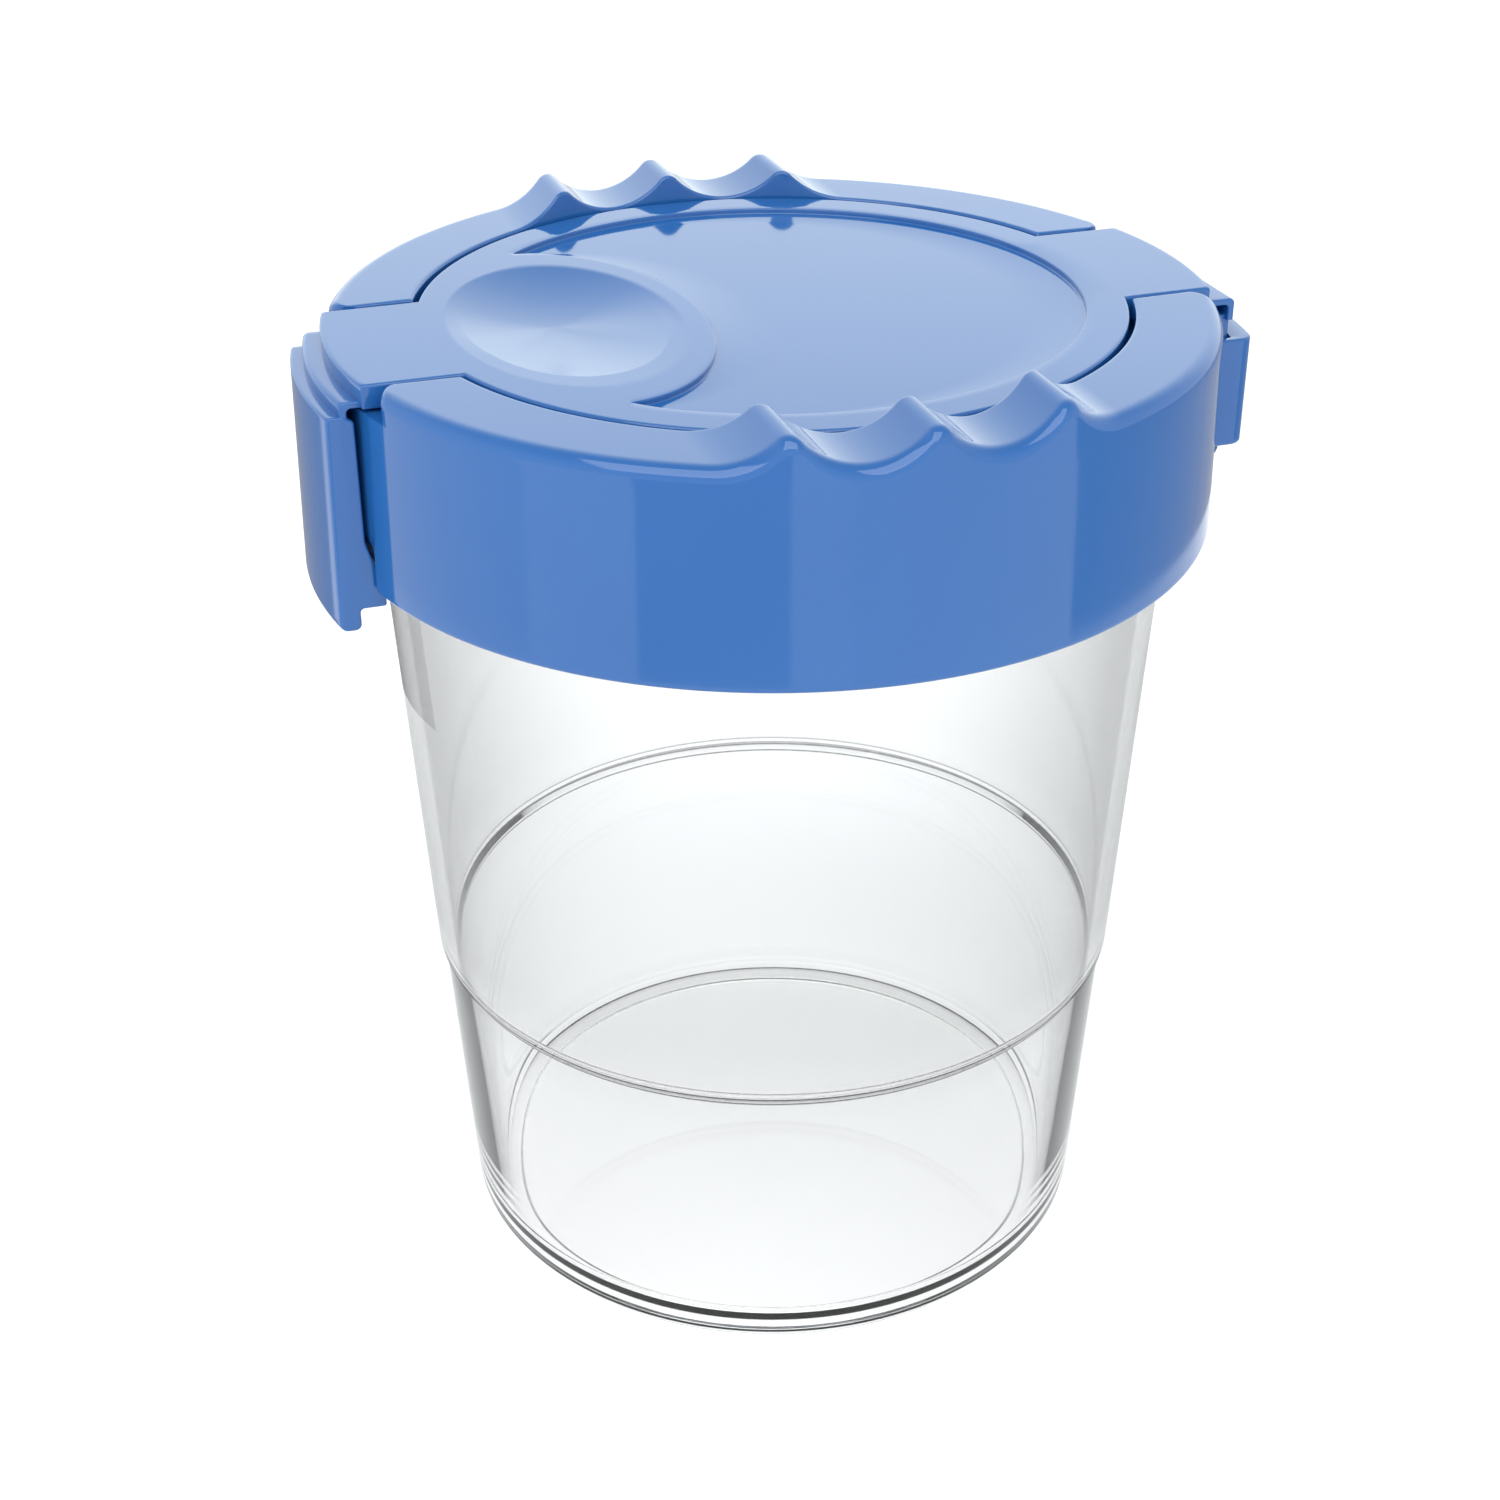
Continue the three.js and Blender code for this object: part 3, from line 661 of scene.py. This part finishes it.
def latch_tab():
    """Curved plate with a hook at its lower end that reaches in under the collar."""
    return curved_bar("latch_plate", [
        (41.68, 93.7, 0.5),
        (41.68, 82.5, 2.0),
        (40.53, 78.5, 0.3),
        (40.3, 77.6, 0.2),
        (40.3, 76.2, 0.25),
        (42.6, 76.2, 0.35),
        (42.6, 74.2, 0.6),
        (44.5, 74.2, 0.75),
        (44.0, 94.2, 0.25),
        (42.6, 94.2, 0.2),
    ], 9.5, -1)


def hinge_strap():
    """Plate through the socket, with a rounded barb below it."""
    return curved_bar("hinge_plate", [
        (42.35, 93.6, 0.2),
        (42.35, 80.4, 0.1),
        (42.1, 80.2, 0.1),
        (42.1, 79.8, 0.2),
        (42.35, 79.4, 0.2),
        (43.5, 79.4, 0.7),
        (43.85, 80.2, 0.3),
        (43.6, 80.5, 0.1),
        (43.6, 93.75, 0.25),
        (42.6, 93.75, 0.1),
    ], 8.9, 1, edge=0.15)


# ---- hidden inserts ----

def spill_funnel():
    """The funnel's outline turned round the Z axis: mouth, cone, neck and flange."""
    outline = rounded([
        (28.0, 93.7, 0.3),
        (28.0, 89.0, 1.5),
        (11.0, 68.0, 2.0),
        (11.0, 64.0, 0.4),
        (12.4, 64.0, 0.4),
        (12.4, 67.4, 2.0),
        (29.1, 88.0, 1.0),
        (29.4, 90.0, 0.3),
        (34.5, 90.0, 0.3),
        (34.5, 91.6, 0.3),
        (29.4, 91.6, 0.2),
        (29.4, 93.7, 0.3),
    ])
    return make_piece("spill_funnel", [turned(outline, 160, True)])


def soft_ring(name, inner, outer, low, high, edge):
    """A rounded rectangle turned round the Z axis."""
    outline = rounded([
        (inner, low, edge),
        (outer, low, edge),
        (outer, high, edge),
        (inner, high, edge),
    ])
    return make_piece(name, [turned(outline, 144, True)])


# ---- materials ----

def node(tree, kind, inputs=None, **settings):
    """A new node with its settings and input values."""
    made = tree.nodes.new(kind)
    for key, value in settings.items():
        setattr(made, key, value)
    for key, value in (inputs or {}).items():
        made.inputs[key].default_value = value
    return made


def moulded_surface():
    """Group: faint flow waviness and fine grain of a moulded face, from a position in metres.

    Height sums a slow noise and a fine one, Tone is a slow mask for colour, Sheen a finer one for
    roughness.
    """
    group = bpy.data.node_groups.new("moulded surface", "ShaderNodeTree")
    add = group.interface.new_socket
    add("Position", in_out="INPUT", socket_type="NodeSocketVector")
    add("Wave Scale", in_out="INPUT", socket_type="NodeSocketFloat").default_value = 60
    add("Grain Scale", in_out="INPUT", socket_type="NodeSocketFloat").default_value = 2500
    add("Grain Share", in_out="INPUT", socket_type="NodeSocketFloat").default_value = 0.1
    add("Height", in_out="OUTPUT", socket_type="NodeSocketFloat")
    add("Tone", in_out="OUTPUT", socket_type="NodeSocketFloat")
    add("Sheen", in_out="OUTPUT", socket_type="NodeSocketFloat")
    start = group.nodes.new("NodeGroupInput")
    end = group.nodes.new("NodeGroupOutput")
    wave = node(group, "ShaderNodeTexNoise", {"Detail": 1.5, "Roughness": 0.4})
    grain = node(group, "ShaderNodeTexNoise", {"Detail": 3.0, "Roughness": 0.6})
    tone = node(group, "ShaderNodeTexNoise", {"Scale": 35.0, "Detail": 2.0})
    sheen = node(group, "ShaderNodeTexNoise", {"Scale": 240.0, "Detail": 4.0})
    mix = node(group, "ShaderNodeMix")
    link = group.links.new
    for texture in (wave, grain, tone, sheen):
        link(start.outputs["Position"], texture.inputs["Vector"])
    link(start.outputs["Wave Scale"], wave.inputs["Scale"])
    link(start.outputs["Grain Scale"], grain.inputs["Scale"])
    link(start.outputs["Grain Share"], mix.inputs["Factor"])
    link(wave.outputs["Fac"], mix.inputs["A"])
    link(grain.outputs["Fac"], mix.inputs["B"])
    link(mix.outputs["Result"], end.inputs["Height"])
    link(tone.outputs["Fac"], end.inputs["Tone"])
    link(sheen.outputs["Fac"], end.inputs["Sheen"])
    return group


def ranged(tree, source, low, high):
    """Turns a 0..1 mask into low..high."""
    made = node(tree, "ShaderNodeMapRange", {"To Min": low, "To Max": high})
    tree.links.new(source, made.inputs["Value"])
    return made.outputs["Result"]


def moulded(name, surface, colours, rough, bump, grain_share=0.1, grain_scale=2500.0, wave_scale=60.0,
            ior=1.5):
    """A moulded plastic or rubber: two close colours by tone, roughness by sheen, a faint bump."""
    material = bpy.data.materials.new(name)
    material.use_nodes = True
    tree = material.node_tree
    shader = tree.nodes["Principled BSDF"]
    shader.inputs["IOR"].default_value = ior
    place = node(tree, "ShaderNodeTexCoord")
    skin = node(tree, "ShaderNodeGroup", node_tree=surface)
    skin.inputs["Wave Scale"].default_value = wave_scale
    skin.inputs["Grain Scale"].default_value = grain_scale
    skin.inputs["Grain Share"].default_value = grain_share
    tree.links.new(place.outputs["Object"], skin.inputs["Position"])
    colour = node(tree, "ShaderNodeMix", data_type="RGBA")
    colour.inputs["A"].default_value = (*colours[0], 1)
    colour.inputs["B"].default_value = (*colours[1], 1)
    tree.links.new(ranged(tree, skin.outputs["Tone"], -0.5, 1.5), colour.inputs["Factor"])
    tree.links.new(colour.outputs["Result"], shader.inputs["Base Color"])
    tree.links.new(ranged(tree, skin.outputs["Sheen"], *rough), shader.inputs["Roughness"])
    relief = node(tree, "ShaderNodeBump", {"Strength": 1.0, "Distance": bump})
    tree.links.new(skin.outputs["Height"], relief.inputs["Height"])
    tree.links.new(relief.outputs["Normal"], shader.inputs["Normal"])
    return material


def add_painted_shade_line(tree, height_value, height, weight, mask):
    """Adds to a mask a thin level line of painted shade at one height, of the given weight."""
    away = node(tree, "ShaderNodeMath", operation="SUBTRACT")
    away.inputs[1].default_value = height
    size = node(tree, "ShaderNodeMath", operation="ABSOLUTE")
    line = node(tree, "ShaderNodeMapRange", {"From Min": 0.00004, "From Max": 0.00013})
    line.inputs["To Min"].default_value = weight
    line.inputs["To Max"].default_value = 0.0
    both = node(tree, "ShaderNodeMath", operation="MAXIMUM")
    tree.links.new(height_value, away.inputs[0])
    tree.links.new(away.outputs["Value"], size.inputs[0])
    tree.links.new(size.outputs["Value"], line.inputs["Value"])
    tree.links.new(mask, both.inputs[0])
    tree.links.new(line.outputs["Result"], both.inputs[1])
    return both.outputs["Value"]


def clear_plastic(surface):
    """Clear moulded styrene that lets light through to what is behind.

    Painted shade darkens it where it is seen edge on, more so above the step, and along two thin
    lines at the step, in place of dark refraction and reflection. Shadow rays pass almost freely.
    """
    material = bpy.data.materials.new("clear styrene")
    material.use_nodes = True
    tree = material.node_tree
    shader = tree.nodes["Principled BSDF"]
    shader.inputs["Base Color"].default_value = (0.99, 0.99, 0.99, 1)
    shader.inputs["Metallic"].default_value = 0.0
    shader.inputs["Transmission Weight"].default_value = 1.0
    shader.inputs["IOR"].default_value = 1.49
    place = node(tree, "ShaderNodeTexCoord")
    # painted shade mask: stronger where the cup is seen edge on, and above the step
    facing = node(tree, "ShaderNodeLayerWeight", {"Blend": 0.3})
    edge = node(tree, "ShaderNodeMapRange", {"From Min": 0.05, "From Max": 0.55, "To Max": 0.3})
    split = node(tree, "ShaderNodeSeparateXYZ")
    above = node(tree, "ShaderNodeMapRange", {"From Min": 0.027, "From Max": 0.037, "To Min": 0.35})
    shade = node(tree, "ShaderNodeMath", operation="MULTIPLY")
    tree.links.new(facing.outputs["Facing"], edge.inputs["Value"])
    tree.links.new(place.outputs["Object"], split.inputs["Vector"])
    tree.links.new(split.outputs["Z"], above.inputs["Value"])
    tree.links.new(edge.outputs["Result"], shade.inputs[0])
    tree.links.new(above.outputs["Result"], shade.inputs[1])
    total = shade.outputs["Value"]
    for height, weight in PAINTED_STEP_LINES:
        total = add_painted_shade_line(tree, split.outputs["Z"], height, weight, total)
    # painted shade: a black see-through shader, mixed in by the edge, height and step-line mask
    painted_shade_bsdf = node(tree, "ShaderNodeBsdfTransparent")
    painted_shade_bsdf.inputs["Color"].default_value = (0.0, 0.0, 0.0, 1)
    shaded = node(tree, "ShaderNodeMixShader")
    tree.links.new(total, shaded.inputs["Fac"])
    tree.links.new(shader.outputs["BSDF"], shaded.inputs[1])
    tree.links.new(painted_shade_bsdf.outputs["BSDF"], shaded.inputs[2])
    skin = node(tree, "ShaderNodeGroup", node_tree=surface)
    skin.inputs["Wave Scale"].default_value = 28.0
    skin.inputs["Grain Share"].default_value = 0.0
    tree.links.new(place.outputs["Object"], skin.inputs["Position"])
    tree.links.new(ranged(tree, skin.outputs["Sheen"], 0.0, 0.02), shader.inputs["Roughness"])
    relief = node(tree, "ShaderNodeBump", {"Strength": 1.0, "Distance": 0.00003})
    tree.links.new(skin.outputs["Height"], relief.inputs["Height"])
    tree.links.new(relief.outputs["Normal"], shader.inputs["Normal"])
    through = node(tree, "ShaderNodeBsdfTransparent")
    through.inputs["Color"].default_value = (0.985, 0.985, 0.987, 1)
    path = node(tree, "ShaderNodeLightPath")
    choice = node(tree, "ShaderNodeMixShader")
    tree.links.new(path.outputs["Is Shadow Ray"], choice.inputs["Fac"])
    tree.links.new(shaded.outputs["Shader"], choice.inputs[1])
    tree.links.new(through.outputs["BSDF"], choice.inputs[2])
    tree.links.new(choice.outputs["Shader"], tree.nodes["Material Output"].inputs["Surface"])
    return material


def finish_with(piece, material):
    """Gives a piece its one material."""
    piece.data.materials.clear()
    piece.data.materials.append(material)


# ---- camera, floor and light ----

def studio_camera():
    """Camera 0.21 m from the cup's axis and 0.17 m up, a quarter turn round from the latch."""
    data = bpy.data.cameras.new("studio camera")
    data.lens = 56.0
    data.sensor_width = 36.0
    data.shift_x = -0.0147
    camera = bpy.data.objects.new("studio camera", data)
    camera.location = (0.1961, -0.0672, 0.1666)
    camera.rotation_euler = (np.radians(60.504), 0, np.radians(71.1))
    bpy.context.scene.collection.objects.link(camera)
    bpy.context.scene.camera = camera


def studio_floor():
    """A flat round floor, points (r cos t, r sin t, 0), white and matt."""
    radius = np.array([0.0, 0.2, 0.6, 1.6])[:, None]
    angle = np.linspace(0, FULL_TURN, 96, endpoint=False)
    grid = np.stack([radius * np.cos(angle), radius * np.sin(angle), -1e-5 + 0 * radius * angle], -1)
    floor = make_piece("studio_floor", [(grid / MM, False, True)])
    white = bpy.data.materials.new("white floor")
    white.use_nodes = True
    tree = white.node_tree
    shader = tree.nodes["Principled BSDF"]
    shader.inputs["Roughness"].default_value = 1.0
    shader.inputs["Specular IOR Level"].default_value = 0.0
    shader.inputs["Emission Color"].default_value = (0.15, 0.15, 0.15, 1)
    shader.inputs["Emission Strength"].default_value = 1.0
    place = node(tree, "ShaderNodeTexCoord")
    paper = node(tree, "ShaderNodeTexNoise", {"Scale": 900.0, "Detail": 2.0})
    tint = node(tree, "ShaderNodeMix", data_type="RGBA")
    tint.inputs["A"].default_value = (0.9, 0.9, 0.905, 1)
    tint.inputs["B"].default_value = (0.92, 0.92, 0.925, 1)
    tree.links.new(place.outputs["Object"], paper.inputs["Vector"])
    tree.links.new(paper.outputs["Fac"], tint.inputs["Factor"])
    tree.links.new(tint.outputs["Result"], shader.inputs["Base Color"])
    finish_with(floor, white)


def softbox(name, azimuth, elevation, distance, width, height, radiance):
    """A soft rectangular light that faces the lid, with the given radiance over its face.

    Azimuth 0 is towards -Y and 90 towards +X, as for the camera. Power is radiance times pi
    times the area.
    """
    a, e = np.radians(azimuth), np.radians(elevation)
    back = np.array([np.sin(a) * np.cos(e), -np.cos(a) * np.cos(e), np.sin(e)])
    data = bpy.data.lights.new(name, "AREA")
    data.shape = "RECTANGLE"
    data.size, data.size_y = width, height
    data.energy = radiance * np.pi * width * height
    light = bpy.data.objects.new(name, data)
    light.location = back * distance + np.array([0, 0, 0.07])
    light.rotation_euler = (np.pi / 2 - e, 0, a)
    bpy.context.scene.collection.objects.link(light)


def reflection_card(name, azimuth, half_width, radiance, radius=0.2):
    """An upright curved sheet in front of the cup that only mirror-like reflections see.

    Points are (r sin a, -r cos a, z) for azimuths a within the half width, at one radius r.
    """
    angle = np.radians(np.linspace(azimuth - half_width, azimuth + half_width, 25))[:, None]
    height = np.linspace(0.001, 0.075, 5)[None, :]
    grid = np.stack([
        radius * np.sin(angle) + 0 * height,
        -radius * np.cos(angle) + 0 * height,
        height + 0 * angle,
    ], -1)
    card = make_piece(name, [(grid / MM, False, False)])
    card.visible_camera = False
    card.visible_diffuse = False
    card.visible_shadow = False
    card.visible_transmission = False
    glow = bpy.data.materials.new(name)
    glow.use_nodes = True
    shader = glow.node_tree.nodes["Principled BSDF"]
    shader.inputs["Base Color"].default_value = (0.0, 0.0, 0.0, 1)
    shader.inputs["Specular IOR Level"].default_value = 0.0
    shader.inputs["Emission Color"].default_value = (radiance, radiance, radiance, 1)
    shader.inputs["Emission Strength"].default_value = 1.0
    finish_with(card, glow)


def studio_world(low, high, glow):
    """Soft surroundings: bright near the horizon, dimmer overhead, with a glow low behind the cup.

    The first part fades with height, and the glow with the angle from a line at azimuth 251 and
    17 degrees up.
    """
    world = bpy.data.worlds.new("studio")
    bpy.context.scene.world = world
    world.use_nodes = True
    tree = world.node_tree
    sky = tree.nodes["Background"]
    place = node(tree, "ShaderNodeTexCoord")
    split = node(tree, "ShaderNodeSeparateXYZ")
    fade = node(tree, "ShaderNodeMapRange", {"From Min": 0.25, "From Max": 0.95})
    fade.interpolation_type = "SMOOTHSTEP"
    tint = node(tree, "ShaderNodeMix", data_type="RGBA")
    tint.inputs["A"].default_value = (*low, 1)
    tint.inputs["B"].default_value = (*high, 1)
    near = node(tree, "ShaderNodeVectorMath", operation="DOT_PRODUCT")
    near.inputs[1].default_value = (-0.905, 0.310, 0.292)
    spread = node(tree, "ShaderNodeMapRange", {"From Min": 0.55, "From Max": 1.0})
    spread.interpolation_type = "SMOOTHSTEP"
    bright = node(tree, "ShaderNodeMix", data_type="RGBA")
    bright.inputs["A"].default_value = (0.0, 0.0, 0.0, 1)
    bright.inputs["B"].default_value = (*glow, 1)
    total = node(tree, "ShaderNodeMix", {"Factor": 1.0}, data_type="RGBA", blend_type="ADD")
    link = tree.links.new
    link(place.outputs["Generated"], split.inputs["Vector"])
    link(split.outputs["Z"], fade.inputs["Value"])
    link(fade.outputs["Result"], tint.inputs["Factor"])
    link(place.outputs["Generated"], near.inputs[0])
    link(near.outputs["Value"], spread.inputs["Value"])
    link(tint.outputs["Result"], total.inputs["A"])
    link(spread.outputs["Result"], bright.inputs["Factor"])
    link(bright.outputs["Result"], total.inputs["B"])
    link(total.outputs["Result"], sky.inputs["Color"])


# ---- the scene ----

studio_camera()
studio_floor()
studio_world((1.06, 1.08, 1.09), (0.58, 0.6, 0.62), (0.66, 0.76, 0.7))
softbox("front light", 60, 55, 1.2, 1.3, 1.1, 2.1)
reflection_card("tab card", -78, 38, 0.4, 0.12)
reflection_card("left card", -13, 27, 1.1)
reflection_card("middle card", 58, 17, 0.75)
reflection_card("right card", 107, 18, 1.25)
reflection_card("side card", 188, 44, 0.5)
bpy.context.scene.view_settings.view_transform = "Standard"

surface = moulded_surface()
blue_tones = [(0.014, 0.107, 0.35), (0.018, 0.12, 0.38)]
blue = moulded("blue gloss plastic", surface, blue_tones, (0.05, 0.11), 0.000004, ior=1.6)
frosted = moulded("frosted plastic", surface, [(0.72, 0.76, 0.8), (0.78, 0.82, 0.85)], (0.3, 0.45), 0.00001)
rubber = moulded("grey rubber", surface, [(0.3, 0.34, 0.38), (0.35, 0.39, 0.43)], (0.6, 0.8), 0.00002, 0.4)
clear = clear_plastic(surface)

cup = clear_cup()
collar = blue_collar()
lid = blue_lid()
latch = latch_tab()
strap = hinge_strap()
funnel = spill_funnel()
gasket = soft_ring("rim_ring", 36.6, 39.0, 91.3, 92.9, 0.5)
seal = soft_ring("plug_ring", 26.5, 27.6, 90.7, 91.9, 0.4)
front_web = film_web("front_film", TONGUE_FRONT, -1, 93.4)
rear_web = film_web("rear_film", TONGUE_REAR + 0.2, 1, 93.3, tuck=1.5, bow=0.0)

for piece, body, cad_node, slot, material in (
    (cup, "cup", "cup_body", "clear_plastic", clear),
    (collar, "collar", "collar", "blue_plastic", blue),
    (gasket, "collar", "rim_gasket", "grey_rubber", rubber),
    (funnel, "collar", "spill_cone", "frosted_plastic", frosted),
    (strap, "collar", "hinge_strap", "blue_plastic", blue),
    (lid, "lid", "lid", "blue_plastic", blue),
    (seal, "lid", "lid_seal", "grey_rubber", rubber),
    (latch, "latch", "latch_tab", "blue_plastic", blue),
):
    finish_with(piece, material)
    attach(piece, body)
    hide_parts(cad_node)

for web, bodies, cad_node, start, end in (
    (front_web, ("lid", "latch"), "latch_film_hinge", (0, -0.0416, 0.0949), (0, -0.0429, 0.0939)),
    (rear_web, ("collar", "lid"), "lid_film_hinge", (0, 0.0429, 0.0939), (0, 0.0416, 0.0949)),
):
    finish_with(web, blue)
    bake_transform(web)
    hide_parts(cad_node)
